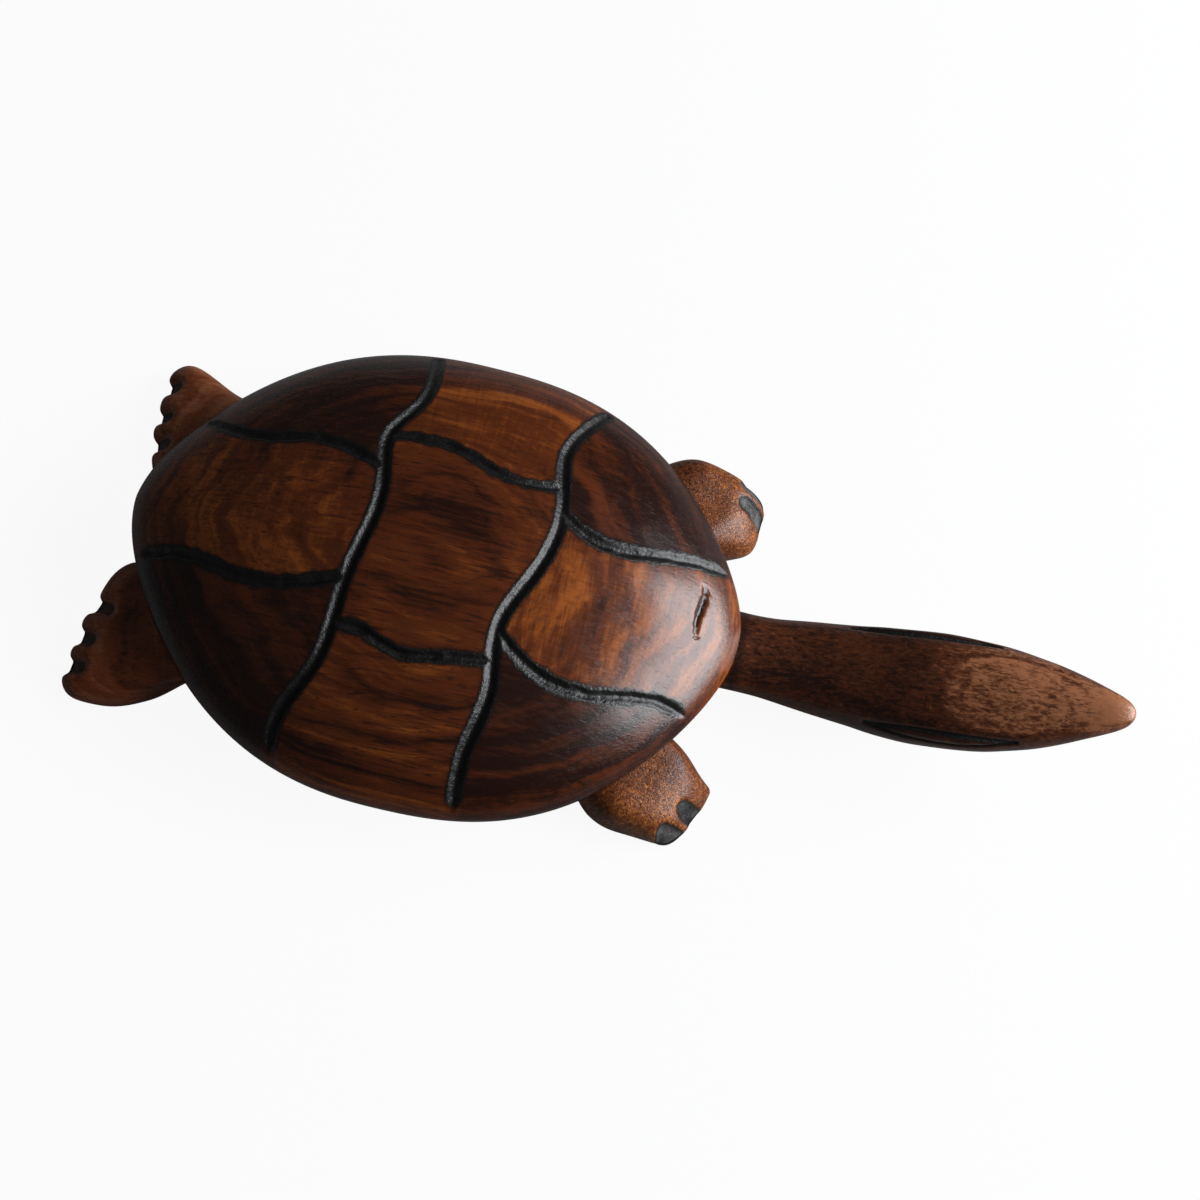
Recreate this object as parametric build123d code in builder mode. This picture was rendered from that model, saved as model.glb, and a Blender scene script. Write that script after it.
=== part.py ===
"""Carved wooden turtle: a domed shell on a belly block, a raised head and four feet, all glued up."""
import os
from math import cos, pi, radians, sin

from build123d import *

# Driving dimensions in mm and degrees: +X is towards the head, +Y the turtle's left, Z = 0 the ground

# Shell
shell_length = 115.0
shell_width = 91.0
dome_height = 18.0
dome_fullness = 0.69
rim_height = 13.0
rim_edge = 1.2
front_roundness = 2.54
rear_roundness = 2.35
tip_sharpness = 0.73
groove_width = 3.0
groove_depth = 1.3

# Belly block under the shell
shell_overhang = 9.0
belly_clearance = 4.0
belly_edge_radius = 3.5
neck_seat_setback = 1.5

# Neck and head, carved as one piece
neck_reach = 71.0
neck_axis_drop = 4.0
neck_width = 15.0
neck_thickness = 9.8
nape_width = 16.4
nape_thickness = 11.4
head_width = 21.4
head_thickness = 16.4
brow_width = 18.6
brow_thickness = 14.2
snout_width = 11.0
snout_thickness = 8.6
head_rise = 16.0
eye_length = 25.0
eye_width = 3.2
eye_angle = 57.0
neck_tenon_diameter = 5.0
neck_tenon_length = 12.0

# Front legs
front_hip_angle = 38.0
front_leg_forward = 19.5
front_leg_spread = 8.5
front_facing = 29.0
front_root_width = 16.0
front_knee_width = 20.0
front_toe_width = 13.0
front_knee_height = 9.4

# Rear legs
rear_hip_angle = 146.0
rear_leg_back = 21.0
rear_leg_spread = 2.5
rear_facing = 185.0
rear_root_width = 17.0
rear_knee_width = 23.5
rear_toe_width = 25.0
rear_knee_height = 7.6

# All legs; places along a leg are shares of the step from hip to toes
root_place = -0.3
thigh_place = 0.1
knee_place = 0.6
toe_thickness = 5.0
sole_arch = 4.4
sole_trim = 1.0
leg_headroom = 0.3
leg_corner_radius = 2.2
toe_edge_radius = 1.0
notch_diameter = 3.0
notch_depth = 2.0
leg_tenon_diameter = 4.0
leg_tenon_length = 8.0

# Dowels between shell and belly
dowel_diameter = 6.0
dowel_length = 11.0
dowel_spacing = 44.0

# Fits
glue_gap = 0.05
bore_end_gap = 0.2

# Places worked out from the driving dimensions; shell_x puts the origin under the middle of the whole turtle
half_length = shell_length / 2
half_width = shell_width / 2
underside = rim_height - rim_edge
belly_length = shell_length - 2 * shell_overhang
belly_width = shell_width - 2 * shell_overhang
belly_middle = (belly_clearance + underside) / 2
belly_front = belly_length / 2 - neck_seat_setback
neck_axis = rim_height - neck_axis_drop
head_tip = half_length + neck_reach
rear_hip = belly_length / 2 * cos(radians(rear_hip_angle))
tail_end = rear_hip - rear_leg_back + rear_toe_width / 2 * sin(radians(rear_facing))
shell_x = -(head_tip + tail_end) / 2
leg_top = underside - leg_headroom
groove_radius = (groove_width**2 / 4 + groove_depth**2) / (2 * groove_depth)

# Groove routes on the dome, in shares of the half length and half width, from the left or rear end on
groove_routes = {
    "rear_cross": [
        (-0.18, 0.89), (-0.17, 0.74), (-0.19, 0.59), (-0.25, 0.42), (-0.23, 0.23), (-0.22, 0.05),
        (-0.25, -0.20), (-0.26, -0.44), (-0.28, -0.59), (-0.35, -0.78), (-0.35, -0.90),
    ],
    "front_cross": [
        (0.41, 0.85), (0.34, 0.67), (0.31, 0.53), (0.33, 0.34), (0.34, 0.18), (0.29, -0.08),
        (0.23, -0.30), (0.25, -0.54), (0.22, -0.77), (0.23, -0.94),
    ],
    "rear_left": [(-0.83, 0.37), (-0.72, 0.32), (-0.59, 0.31), (-0.45, 0.33), (-0.25, 0.26)],
    "rear_right": [(-0.91, -0.26), (-0.77, -0.25), (-0.57, -0.31), (-0.40, -0.30), (-0.26, -0.25)],
    "middle_left": [(-0.24, 0.41), (-0.02, 0.41), (0.08, 0.36), (0.19, 0.33), (0.32, 0.36)],
    "middle_right": [(-0.26, -0.42), (-0.14, -0.44), (-0.05, -0.48), (0.09, -0.46), (0.24, -0.43)],
    "front_left": [(0.34, 0.25), (0.43, 0.18), (0.54, 0.16), (0.71, 0.21), (0.93, 0.26)],
    "front_right": [
        (0.23, -0.31), (0.33, -0.40), (0.46, -0.45), (0.60, -0.43), (0.75, -0.38), (0.86, -0.38),
    ],
}
near_rim = 0.8
past_rim = 1.06


def roundness(x):
    """Fullness of the shell's outline at the head end or the tail end."""
    return front_roundness if x >= 0 else rear_roundness


def oval(length, width):
    """The shell's outline, pointed at both ends, as two mirrored curves square to the centre line."""
    front = (shell_x + length / 2, 0)
    rear = (shell_x - length / 2, 0)
    left = []
    for step in range(1, 10):
        along = cos(pi * step / 10)
        across = (1 - abs(along) ** roundness(along)) ** tip_sharpness
        left.append((shell_x + along * length / 2, across * width / 2))
    Spline(front, *left, rear, tangents=[(0, 1), (0, -1)])
    Spline(front, *[(x, -y) for x, y in left], rear, tangents=[(0, -1), (0, 1)])


def dome_level(share):
    """Height of the dome where its outline has shrunk to a share of the rim's."""
    return rim_height + dome_height * max(1 - share**2, 0) ** dome_fullness


def dome_share(x, y):
    """Share of the rim's outline that passes through a point, found by halving."""
    low, high = 0.001, 2.0
    for _ in range(40):
        middle = (low + high) / 2
        inside = (abs(y) / middle) ** (1 / tip_sharpness) + (abs(x) / middle) ** roundness(x) < 1
        low, high = (low, middle) if inside else (middle, high)
    return high


def groove_path(route):
    """Centre line of a gouge along a route on the dome; an end that nears the rim runs out over it."""
    lift = groove_radius - groove_depth
    points = [
        (shell_x + x * half_length, y * half_width, dome_level(dome_share(x, y)) + lift) for x, y in route
    ]
    for end in (0, -1):
        x, y = route[end]
        share = dome_share(x, y)
        if share > near_rim:
            out = past_rim / share
            run_out = (shell_x + x * out * half_length, y * out * half_width, rim_height)
            points.insert(0 if end == 0 else len(points), run_out)
    return points


def round_cut(diameter, start, direction, depth, mode=Mode.SUBTRACT):
    """Round hole, or peg with Mode.ADD, that runs from a start point along a direction."""
    with Locations(Plane(start, z_dir=direction)):
        Cylinder(diameter / 2, depth, align=(Align.CENTER, Align.CENTER, Align.MIN), mode=mode)


dowel_places = [(shell_x + side * dowel_spacing / 2, 0, underside) for side in (-1, 1)]

# Carapace: outlines stacked to a dome, a thin upright rim, gouged grooves, neck notch and dowel bores
with BuildPart() as carapace:
    for share in (1.0, 0.97, 0.9, 0.78, 0.6, 0.4, 0.2, 0.08):
        with BuildSketch(Plane.XY.offset(dome_level(share))):
            with BuildLine():
                oval(share * shell_length, share * shell_width)
            make_face()
    loft()
    with BuildSketch(Plane.XY.offset(underside)):
        with BuildLine():
            oval(shell_length, shell_width)
        make_face()
    extrude(amount=rim_edge)
    with BuildSketch(Plane.YZ.offset(shell_x + belly_front)):
        with Locations((0, neck_axis)):
            Ellipse(neck_width / 2 + glue_gap, neck_thickness / 2 + glue_gap)
    extrude(amount=shell_length, mode=Mode.SUBTRACT)
    for place in dowel_places:
        round_cut(dowel_diameter + 2 * glue_gap, place, (0, 0, 1), dowel_length / 2 + bore_end_gap)
    gouges = []
    for route in groove_routes.values():
        with BuildLine(mode=Mode.PRIVATE) as groove:
            Spline(*groove_path(route))
        with BuildSketch(Plane(groove.line @ 0, z_dir=groove.line % 0), mode=Mode.PRIVATE) as gouge:
            Circle(groove_radius)
        gouges.append(sweep(gouge.sketch, path=groove.line, mode=Mode.PRIVATE))
    add(gouges, mode=Mode.SUBTRACT)
carapace.part.label = "carapace"


def leg(end, side):
    """One leg, with where its tenon starts and which way it points; side is 1 for left, -1 for right."""
    front = end == "front"
    hip_angle = radians(front_hip_angle if front else rear_hip_angle)
    stride = front_leg_forward if front else -rear_leg_back
    spread = front_leg_spread if front else rear_leg_spread
    facing = radians(front_facing if front else rear_facing)
    root_width = front_root_width if front else rear_root_width
    knee_width = front_knee_width if front else rear_knee_width
    toe_width = front_toe_width if front else rear_toe_width
    knee_height = front_knee_height if front else rear_knee_height
    toe_count = 3 if front else 4

    hip = Vector(shell_x + belly_length / 2 * cos(hip_angle), side * belly_width / 2 * sin(hip_angle), 0)
    step = Vector(stride, side * spread, 0)
    normal = Vector(cos(facing), side * sin(facing), 0)
    across = Vector(-normal.Y, normal.X, 0)
    toes = hip + step
    with BuildPart() as piece:
        sections = (
            (hip + step * root_place, root_width, sole_arch, leg_top),
            (hip + step * thigh_place, root_width, sole_arch, leg_top),
            (hip + step * knee_place, knee_width, -sole_trim, knee_height),
            (toes, toe_width, -sole_trim, toe_thickness),
        )
        for place, width, bottom, top in sections:
            with BuildSketch(Plane(place, x_dir=across, z_dir=normal)):
                with Locations((0, (top + bottom) / 2)):
                    RectangleRounded(width, top - bottom, leg_corner_radius)
        loft()
        toe_face = min(piece.faces(), key=lambda face: (face.center() - toes).length)
        fillet(toe_face.edges(), toe_edge_radius)
        split(bisect_by=Plane.XY, keep=Keep.TOP)
        split(bisect_by=Plane.XY.offset(leg_top), keep=Keep.BOTTOM)
        with BuildSketch():
            with Locations((shell_x, 0)):
                Ellipse(belly_length / 2 + glue_gap, belly_width / 2 + glue_gap)
        extrude(amount=underside, mode=Mode.SUBTRACT)
        for gap in range(1, toe_count):
            place = toes + across * (toe_width * (gap / toe_count - 0.5))
            notch = place + normal * (notch_diameter / 2 - notch_depth)
            round_cut(notch_diameter, notch, (0, 0, 1), rim_height)
        shoulder = hip + step.normalized() * leg_tenon_diameter + Vector(0, 0, belly_middle)
        round_cut(leg_tenon_diameter, shoulder, -step, leg_tenon_diameter + leg_tenon_length, Mode.ADD)
    piece.part.label = f"{end}_{'left' if side > 0 else 'right'}_leg"
    return piece, shoulder, step


legs = [leg(end, side) for end in ("front", "rear") for side in (1, -1)]

# Head and neck: flat oval sections along a rising curve, an almond slit for each eye, a round tenon
neck_stations = (
    (0.0, neck_width, neck_thickness),
    (0.14, nape_width, nape_thickness),
    (0.53, head_width, head_thickness),
    (0.70, brow_width, brow_thickness),
    (0.89, snout_width, snout_thickness),
)
eye_station = 0.53


def neck_centre(share):
    """Middle of the neck at a share of its reach from the shell's front: it lifts as the share squared."""
    return Vector(shell_x + half_length + share * neck_reach, 0, neck_axis + head_rise * share**2)


with BuildPart() as head:
    sections = []
    for share, width, thickness in neck_stations:
        upright = Plane(neck_centre(share), x_dir=(0, 1, 0), z_dir=(1, 0, 0))
        with BuildSketch(upright, mode=Mode.PRIVATE) as section:
            Ellipse(width / 2, thickness / 2)
        sections.append(section.sketch)
    loft(sections=[*sections, Vertex(*neck_centre(1.0))])
    extrude(sections[0], amount=belly_front - half_length)
    round_cut(neck_tenon_diameter, (shell_x + belly_front, 0, belly_middle), (-1, 0, 0), neck_tenon_length,
              Mode.ADD)
    for side in (1, -1):
        eye = neck_centre(eye_station) + Vector(
            0, side * head_width / 2 * sin(radians(eye_angle)), head_thickness / 2 * cos(radians(eye_angle))
        )
        slope = 2 * head_rise * eye_station / neck_reach
        with BuildSketch(Plane(eye, x_dir=(1, 0, slope), z_dir=(0, 1, 0)), mode=Mode.PRIVATE) as almond:
            with BuildLine():
                arc = ThreePointArc((-eye_length / 2, 0), (0, eye_width / 2), (eye_length / 2, 0))
                Line(arc @ 0, arc @ 1)
            make_face()
        revolve(almond.sketch, axis=Axis(eye, (1, 0, slope)), mode=Mode.SUBTRACT)
head.part.label = "head_and_neck"

# Belly: the block that every other piece is glued into, flat in front where the neck seats
with BuildPart() as belly:
    with BuildSketch(Plane.XY.offset(belly_clearance)):
        with Locations((shell_x, 0)):
            Ellipse(belly_length / 2, belly_width / 2)
    extrude(amount=underside - belly_clearance)
    fillet(belly.edges().group_by(Axis.Z)[0], belly_edge_radius)
    split(bisect_by=Plane.YZ.offset(shell_x + belly_front), keep=Keep.BOTTOM)
    round_cut(neck_tenon_diameter + 2 * glue_gap, (shell_x + belly_front, 0, belly_middle), (-1, 0, 0),
              neck_tenon_length + bore_end_gap)
    for place in dowel_places:
        round_cut(dowel_diameter + 2 * glue_gap, place, (0, 0, -1), dowel_length / 2 + bore_end_gap)
    for _, shoulder, step in legs:
        bore_depth = leg_tenon_diameter + leg_tenon_length + bore_end_gap
        round_cut(leg_tenon_diameter + 2 * glue_gap, shoulder, -step, bore_depth)
belly.part.label = "belly"

# Two dowels hold the shell on the belly
with BuildPart() as dowels:
    for place in dowel_places:
        round_cut(dowel_diameter, Vector(*place) - Vector(0, 0, dowel_length / 2), (0, 0, 1), dowel_length,
                  Mode.ADD)
dowels.part.label = "shell_dowels"

os.makedirs("parts", exist_ok=True)
for piece in (carapace, belly, head, dowels, *[made for made, _, _ in legs]):
    export_step(piece.part, f"parts/{piece.part.label}.step")
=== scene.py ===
# %% [markdown]
# # A carved hardwood turtle
# The real object is a hand-sized turtle, cut from dark hardwood, sanded, stained and waxed.
# The lines between the plates of its shell, its eyes and its claws are gouged and then burnt black.
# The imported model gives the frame: where every piece is, and how large. The looks are built around it.

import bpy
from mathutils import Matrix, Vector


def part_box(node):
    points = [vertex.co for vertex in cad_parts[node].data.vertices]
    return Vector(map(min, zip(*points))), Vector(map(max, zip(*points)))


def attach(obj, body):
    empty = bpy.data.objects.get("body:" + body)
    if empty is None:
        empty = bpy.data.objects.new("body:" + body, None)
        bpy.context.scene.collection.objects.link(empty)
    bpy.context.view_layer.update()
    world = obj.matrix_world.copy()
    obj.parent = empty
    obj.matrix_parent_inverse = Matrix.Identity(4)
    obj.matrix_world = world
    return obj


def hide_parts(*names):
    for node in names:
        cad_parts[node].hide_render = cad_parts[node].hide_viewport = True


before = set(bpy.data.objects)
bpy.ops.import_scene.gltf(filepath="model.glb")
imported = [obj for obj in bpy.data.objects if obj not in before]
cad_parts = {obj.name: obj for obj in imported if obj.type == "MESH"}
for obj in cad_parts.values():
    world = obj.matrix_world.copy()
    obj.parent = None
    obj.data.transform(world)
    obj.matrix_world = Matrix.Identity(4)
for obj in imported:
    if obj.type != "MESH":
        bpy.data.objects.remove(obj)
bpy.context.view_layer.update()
print("nodes:", sorted(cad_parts))

# %% [markdown]
# ## Units and the shell's own frame
# All shapes here are worked out in millimetres, with the origin under the middle of the shell, +X towards
# the head and +Z up. Only the last step of each piece turns them into metres in the frame.
# The shell's length, width and height are read from its solid, so the looks follow the model.

# %% Sizes read from the frame
import math

import bpy
import numpy as np
from mathutils import Matrix, Vector

MM = 0.001
rim_edge = 1.2
shell_low, shell_high = (np.array(corner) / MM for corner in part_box("carapace"))
half_length, half_width = (shell_high - shell_low)[:2] / 2
shell_origin = np.array([(shell_low[0] + shell_high[0]) / 2, 0.0, 0.0])
underside = shell_low[2]
rim_height = underside + rim_edge
dome_height = shell_high[2] - rim_height
print(f"shell {2 * half_length:.1f} x {2 * half_width:.1f} mm, crown at {shell_high[2]:.1f} mm")

# %% [markdown]
# ## Tools for carving with arrays
# Three small tools do most of the shaping. A smooth line runs through a few points, as a carver's pencil
# line does. A lattice of seeded random heights gives the slow unevenness of handwork. And a distance from
# every point of a surface to a line says how deep the gouge goes there.


# %% Smooth lines
def smooth_line(stops, samples):
    """Natural cubic spline through the stops, by chord length. On each stretch the line is the cubic whose
    second derivative runs straight from one stop's to the next's. One linear system joins the slopes."""
    stops = np.asarray(stops, float)
    reach = np.concatenate([[0], np.cumsum(np.linalg.norm(np.diff(stops, axis=0), axis=1))])
    gap = np.diff(reach)
    slope = np.diff(stops, axis=0) / gap[:, None]
    inner = np.arange(1, len(stops) - 1)
    system = np.eye(len(stops))
    system[inner, inner - 1] = gap[:-1]
    system[inner, inner] = 2 * (gap[:-1] + gap[1:])
    system[inner, inner + 1] = gap[1:]
    pull = np.zeros_like(stops)
    pull[1:-1] = 6 * (slope[1:] - slope[:-1])
    bend = np.linalg.solve(system, pull)
    along = np.linspace(0, reach[-1], samples)
    k = np.clip(np.searchsorted(reach, along, "right") - 1, 0, len(gap) - 1)
    done, left, width = (part[:, None] for part in (along - reach[k], reach[k + 1] - along, gap[k]))
    cubic = (bend[k] * left**3 + bend[k + 1] * done**3) / (6 * width)
    from_start = (stops[k] / width - bend[k] * width / 6) * left
    from_end = (stops[k + 1] / width - bend[k + 1] * width / 6) * done
    return cubic + from_start + from_end


def smooth_loop(stops, samples):
    """The same spline round a closed outline: the stops are laid out three times, the middle lap is kept."""
    rounds = np.concatenate([stops, stops, stops, stops[:1]])
    line = smooth_line(rounds, 3 * samples + 1)
    return line[samples : 2 * samples]


# %% Unevenness
lattice_size = 32


def wander(seed, spacing, points):
    """Value noise from -1 to 1: random heights on a lattice, blended between its corners with the eased
    share 3f^2 - 2f^3 in each direction."""
    lattice = np.random.default_rng(seed).uniform(-1, 1, (lattice_size,) * 3)
    place = points / spacing + 5 * lattice_size
    corner = np.floor(place).astype(int)
    ease = (place - corner) ** 2 * (3 - 2 * (place - corner))
    total = np.zeros(place.shape[:-1])
    for step in np.ndindex(2, 2, 2):
        weight = np.prod(np.where(step, ease, 1 - ease), axis=-1)
        total += weight * lattice[tuple(np.moveaxis((corner + step) % lattice_size, -1, 0))]
    return total


def waves(kinds, points):
    """The sum of several such noises, each given by its seed, its height and its spacing in millimetres."""
    return sum(height * wander(seed, spacing, points) for seed, height, spacing in kinds)


# %% Distance to a line
def nearest(points, line, batch=4000):
    """For each point, the distance to the closest sample of a line and that sample's share of the line's
    length, from |p - q|^2 = |p|^2 + |q|^2 - 2 p.q for whole batches of points at once."""
    flat = points.reshape(-1, 3)
    distance = np.empty(len(flat))
    share = np.empty(len(flat))
    for start in range(0, len(flat), batch):
        part = flat[start : start + batch]
        square = (part**2).sum(1)[:, None] + (line**2).sum(1) - 2 * part @ line.T
        closest = square.argmin(1)
        distance[start : start + batch] = np.sqrt(np.maximum(square.min(1), 0))
        share[start : start + batch] = closest / (len(line) - 1)
    return distance.reshape(points.shape[:-1]), share.reshape(points.shape[:-1])


def ease_between(low, high, value):
    """0 below low, 1 above high, and the eased share 3f^2 - 2f^3 between them."""
    share = np.clip((value - low) / (high - low), 0, 1)
    return share**2 * (3 - 2 * share)


def bell(distance):
    """exp(-d^2): 1 in the middle, falling off evenly on both sides."""
    return np.exp(-(distance**2))


# %% [markdown]
# ## From arrays to a piece
# A piece is a grid of points, its four-sided faces and a few painted values at its points, such as how
# burnt or how dark the wood is there. The same function makes every piece, sets it in the frame and hides
# the solid that it stands for.


# %% Grids and pieces
def disc_grid(cells):
    """A square grid pressed onto a disc, x = u sqrt(1 - v^2/2) and y = v sqrt(1 - u^2/2), given as each
    point's share of the radius and its angle."""
    step = np.linspace(-1, 1, cells + 1)
    u, v = np.meshgrid(step, step, indexing="ij")
    x, y = u * np.sqrt(1 - v**2 / 2), v * np.sqrt(1 - u**2 / 2)
    return np.hypot(x, y), np.arctan2(y, x)


def grid_faces(index):
    """The four corners of every cell of a grid of point numbers."""
    corners = (index[:-1, :-1], index[1:, :-1], index[1:, 1:], index[:-1, 1:])
    return np.stack(corners, -1).reshape(-1, 4)


def edge_loop(index):
    """The point numbers round a square grid's edge, once, anticlockwise from above."""
    return np.concatenate([index[:-1, 0], index[-1, :-1], index[:0:-1, -1], index[0, :0:-1]])


def put_in_scene(name, data):
    """A new object in the scene that holds a mesh, a lamp or a camera."""
    made = bpy.data.objects.new(name, data)
    bpy.context.scene.collection.objects.link(made)
    return made


def make_piece(name, node, finish, points, faces, paint):
    """Drops the points that no face uses, moves the rest from the shell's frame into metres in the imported
    frame, and makes the piece that stands for one solid."""
    lengths = [len(face) for face in faces]
    used, corner = np.unique(np.concatenate(faces), return_inverse=True)
    mesh = bpy.data.meshes.new(name)
    mesh.vertices.add(len(used))
    mesh.vertices.foreach_set("co", ((points[used] + shell_origin) * MM).astype(np.float32).ravel())
    mesh.loops.add(len(corner))
    mesh.loops.foreach_set("vertex_index", corner.astype(np.int32).ravel())
    mesh.polygons.add(len(lengths))
    starts = np.concatenate([[0], np.cumsum(lengths)[:-1]])
    mesh.polygons.foreach_set("loop_start", starts.astype(np.int32))
    mesh.polygons.foreach_set("use_smooth", np.ones(len(lengths), bool))
    for label, values in paint.items():
        layer = mesh.attributes.new(label, "FLOAT", "POINT")
        layer.data.foreach_set("value", values.ravel()[used].astype(np.float32))
    mesh.update(calc_edges=True)
    mesh.validate()
    mesh.materials.append(finish)
    piece = put_in_scene(name, mesh)
    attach(piece, "root")
    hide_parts(node)
    triangles = sum(length - 2 for length in lengths)
    print(f"{name}: {len(used)} points, {triangles} triangles")


# %% [markdown]
# ## The wood
# The turtle is flat-sawn: its growth layers lie nearly level, so a carved dome cuts through them in rings,
# as contour lines cut a hill. A figure worked out in three dimensions gives that by itself on every piece.
# One node group holds it: layers, fibres, flecks, ripples, open pores, dark dashes and cloudy stain.
# A second group holds the burnt cuts. Each material places both with its own values.


# %% Small helpers for nodes
def linear(red, green, blue):
    """A colour given as 0 to 255 on screen, as the linear values that shaders use."""
    share = (np.array([red, green, blue]) / 255 + 0.055) / 1.055
    return (*(share**2.4), 1.0)


def lay(tree, kind, given=None, **settings):
    """Adds a node to a tree. Each given input is a plain value, or an output of another node to link."""
    made = tree.nodes.new("ShaderNode" + kind)
    for name, value in settings.items():
        setattr(made, name, value)
    for name, value in (given or {}).items():
        if isinstance(value, bpy.types.NodeSocket):
            tree.links.new(value, made.inputs[name])
        else:
            made.inputs[name].default_value = value
    return made


def calc(tree, operation, *values):
    """One Math node, as its output."""
    return lay(tree, "Math", dict(enumerate(values)), operation=operation).outputs[0]


def blend_colours(tree, share, first, second):
    """One Mix node for colours, as its output."""
    given = {0: share, 6: first, 7: second}
    return lay(tree, "Mix", given, data_type="RGBA", blend_type="MIX").outputs[2]


def ramp(tree, value, low, high):
    """One smooth Map Range node, from 0 at the low value to 1 at the high one, as its output."""
    given = {"Value": value, "From Min": low, "From Max": high, "To Min": 0.0, "To Max": 1.0}
    return lay(tree, "MapRange", given, interpolation_type="SMOOTHSTEP").outputs[0]


def cloud(tree, place, stretch, detail, rough=0.5, twist=0.0):
    """Noise in a space that is scaled along each axis, so that its spots are drawn out along the grain."""
    scaled = lay(tree, "VectorMath", {0: place, 1: stretch}, operation="MULTIPLY").outputs[0]
    given = {"Vector": scaled, "Scale": 1.0, "Detail": detail, "Roughness": rough, "Distortion": twist}
    return lay(tree, "TexNoise", given).outputs["Fac"]


def new_group(name, inputs, outputs):
    """A node group with named sockets: colours where four values are given, numbers where one is, and places
    where none is. Returns the tree, its inputs and its outputs."""
    tree = bpy.data.node_groups.new(name, "ShaderNodeTree")
    kinds = {tuple: "NodeSocketColor", float: "NodeSocketFloat", type(None): "NodeSocketVector"}
    for side, sockets in (("INPUT", inputs), ("OUTPUT", outputs)):
        for label, value in sockets.items():
            socket = tree.interface.new_socket(label, in_out=side, socket_type=kinds[type(value)])
            if value is not None:
                socket.default_value = value
    return tree, tree.nodes.new("NodeGroupInput").outputs, tree.nodes.new("NodeGroupOutput").inputs


def new_material(name):
    """An empty material, and its tree of nodes."""
    material = bpy.data.materials.new(name)
    material.use_nodes = True
    material.node_tree.nodes.clear()
    return material, material.node_tree


# %% The figure of the wood
figure_sizes = {"Layer Size": 2.0, "Sway": 5.0, "Fleck Size": 1.0, "Fleck Length": 6.0, "Fleck Twist": 0.8}
figure_parts = ("Layers", "Fibres", "Flecks", "Curl", "Pores", "Streaks", "Clouds")
wood_noises = {
    "sway": ((0.022, 0.05, 0.05), 3.0),
    "fibres": ((0.05, 1.0, 1.0), 5.0, 0.65, 0.5),
    "curl": ((0.8, 0.11, 0.11), 3.0, 0.55, 1.5),
    "pores": ((0.3, 2.4, 2.4), 1.0, 0.5, 0.3),
    "dashes": ((0.055, 0.8, 0.8), 3.0, 0.6, 1.2),
    "dash_patches": ((0.05, 0.13, 0.13), 2.0),
    "clouds": ((0.07, 0.11, 0.11), 4.0, 0.6),
}
layer_length, layer_width, layer_detail = 0.014, 0.035, (5.0, 0.6)
fleck_detail = (3.0, 0.6)
pore_edge = (0.63, 0.73)
dash_edge = (0.54, 0.66)
dash_patch_edge = (0.42, 0.58)


def build_wood_figure():
    """Layers: noise that is wide and flat, at a height that sways slowly, so that a level cut shows blots
    and a sloping one bands. Fibres, flecks and pores: noise drawn out along X. Streaks: dark dashes along X,
    in patches. Curl: ripples across X. Each noise has its spots to the millimetre along X, Y and Z, then its
    detail, roughness and twist."""
    sockets = {"Place": None} | figure_sizes
    tree, given, out = new_group("wood_figure", sockets, dict.fromkeys(figure_parts, 0.0))
    place = given["Place"]
    noise = {name: cloud(tree, place, *kind) for name, kind in wood_noises.items()}
    sway = calc(tree, "MULTIPLY", calc(tree, "SUBTRACT", noise["sway"], 0.5), given["Sway"])
    lift = lay(tree, "CombineXYZ", {2: sway}).outputs[0]
    bent = lay(tree, "VectorMath", {0: place, 1: lift}, operation="ADD").outputs[0]
    thin = calc(tree, "DIVIDE", 1.0, given["Layer Size"])
    flat = lay(tree, "CombineXYZ", {0: layer_length, 1: layer_width, 2: thin}).outputs[0]
    across = calc(tree, "DIVIDE", 1.0, given["Fleck Size"])
    lengthwise = calc(tree, "DIVIDE", 1.0, given["Fleck Length"])
    stretch = lay(tree, "CombineXYZ", {0: lengthwise, 1: across, 2: across}).outputs[0]
    dashes = ramp(tree, noise["dashes"], *dash_edge)
    patches = ramp(tree, noise["dash_patches"], *dash_patch_edge)
    made = {
        "Layers": cloud(tree, bent, flat, *layer_detail),
        "Fibres": noise["fibres"],
        "Flecks": cloud(tree, place, stretch, *fleck_detail, given["Fleck Twist"]),
        "Curl": noise["curl"],
        "Pores": ramp(tree, noise["pores"], *pore_edge),
        "Streaks": calc(tree, "MULTIPLY", dashes, patches),
        "Clouds": noise["clouds"],
    }
    for part in figure_parts:
        tree.links.new(made[part], out[part])
    return tree


wood_figure = build_wood_figure()
print("group wood_figure:", len(wood_figure.nodes), "nodes")

# %% The burnt cuts
char_noises = {
    "ragged": ((1.1, 1.1, 1.1), 3.0),
    "crust": ((1.5, 1.5, 1.5), 3.0, 0.55),
    "ash": ((0.35, 0.35, 0.35), 3.0),
}
raggedness = 0.5
char_edge = (0.42, 0.6)
singe_edge = (0.04, 0.5)
singe_strength = 0.8
singe_brown = linear(24, 14, 10)
bare_brown = linear(88, 39, 14)
char_black = linear(9, 8, 8)
# The ash grey is partly real ash and partly a painted highlight of the groove's lit wall.
ash_grey_and_painted_highlight = linear(20, 19, 20)
ash_patch_edge = (0.35, 0.7)
ash_inside = (0.55, 0.95)


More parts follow.
